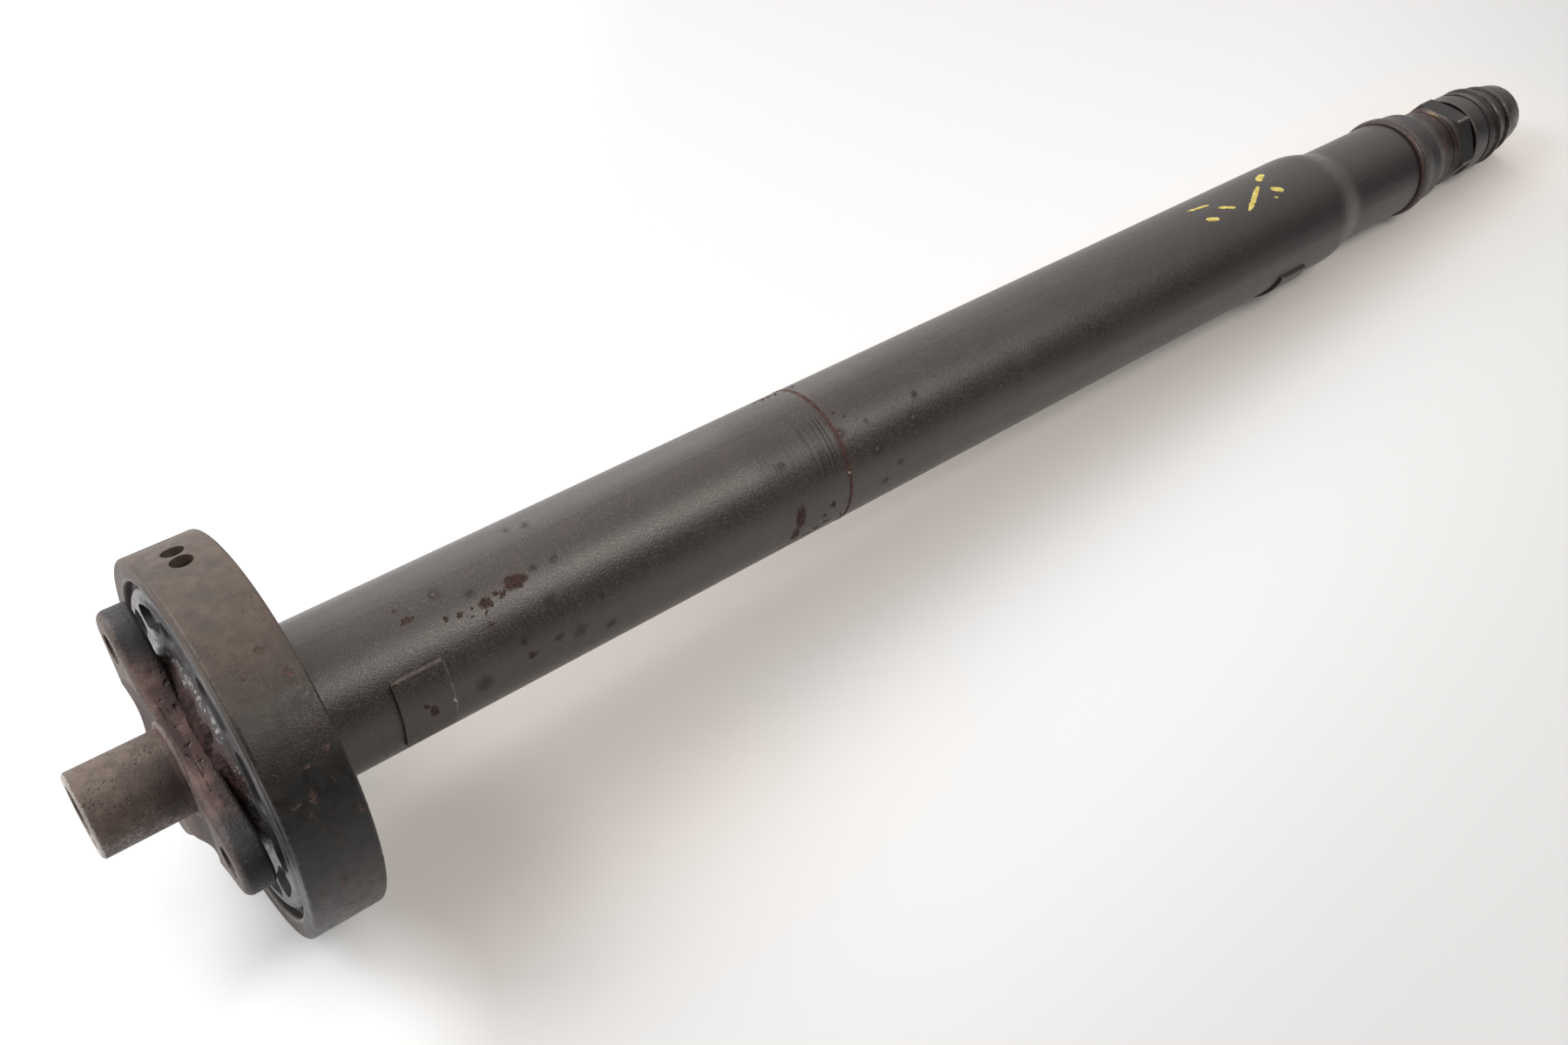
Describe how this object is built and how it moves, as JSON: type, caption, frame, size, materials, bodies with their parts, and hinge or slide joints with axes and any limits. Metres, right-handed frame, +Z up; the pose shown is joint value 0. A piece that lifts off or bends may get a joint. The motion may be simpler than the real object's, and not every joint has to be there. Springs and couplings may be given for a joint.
{
  "type": "drive shaft",
  "caption": "Front half of a two-piece car drive shaft: arm flange with snout, vibration damper, swaged tube and clamp nut with ribbed boot.",
  "frame": {"origin": "on the shaft line, in the mounting face of the front flange's bosses", "axes": "+X along the shaft line, rearwards, towards the clamp nut; +Z up"},
  "size_m": [0.9135, 0.155, 0.155],
  "materials": {
    "forged_steel": "rusty forging skin",
    "ring_steel": "brown surface rust",
    "carrier_steel": "dull pressed steel",
    "tube_paint": "satin black paint with fine grain",
    "weld_steel": "red-brown rusted weld",
    "sleeve_steel": "worn black paint",
    "nut_steel": "black oxide",
    "bright_steel": "turned steel",
    "bush_liner": "bronze",
    "black_rubber": "matt",
    "boot_rubber": "oily sheen",
    "felt": "felt"
  },
  "bodies": {
    "shaft": {"front_flange": "forged_steel", "centring_shell": "bright_steel", "centring_rubber": "black_rubber", "centring_liner": "bush_liner", "centring_seal": "black_rubber", "grease_plug": "bright_steel", "damper_carrier": "carrier_steel", "damper_rubber": "black_rubber", "front_weld": "weld_steel", "front_tube": "tube_paint", "front_balance_weight": "tube_paint", "seam_sleeve": "bright_steel", "seam_weld": "weld_steel", "rear_tube": "tube_paint", "rear_balance_weight": "tube_paint", "rear_weld": "weld_steel", "end_sleeve": "sleeve_steel", "core_plug": "bright_steel"},
    "damper": {"damper_ring": "ring_steel"},
    "clamping": {"clamping_ring": "bright_steel"},
    "nut": {"clamp_nut": "nut_steel", "seal_ring": "felt", "boot": "boot_rubber", "boot_clip": "nut_steel"}
  },
  "joints": [
    {"name": "damper_twist", "type": "hinge", "parent": "shaft", "child": "damper", "pos_m": [0.03, 0, 0], "axis": [1, 0, 0], "range_deg": [-3, 3], "stiffness_Nm_per_rad": 200},
    {"name": "clamping_ring_slide", "type": "slide", "parent": "shaft", "child": "clamping", "axis": [1, 0, 0], "range_m": [0, 0.003]},
    {"name": "clamp_nut_turn", "type": "hinge", "parent": "clamping", "child": "nut", "pos_m": [0.82, 0, 0], "axis": [1, 0, 0], "range_deg": [0, 720]}
  ],
  "couplings": [
    {"joint": "clamping_ring_slide", "follows": "clamp_nut_turn", "m_per_rad": 0.0002387}
  ]
}
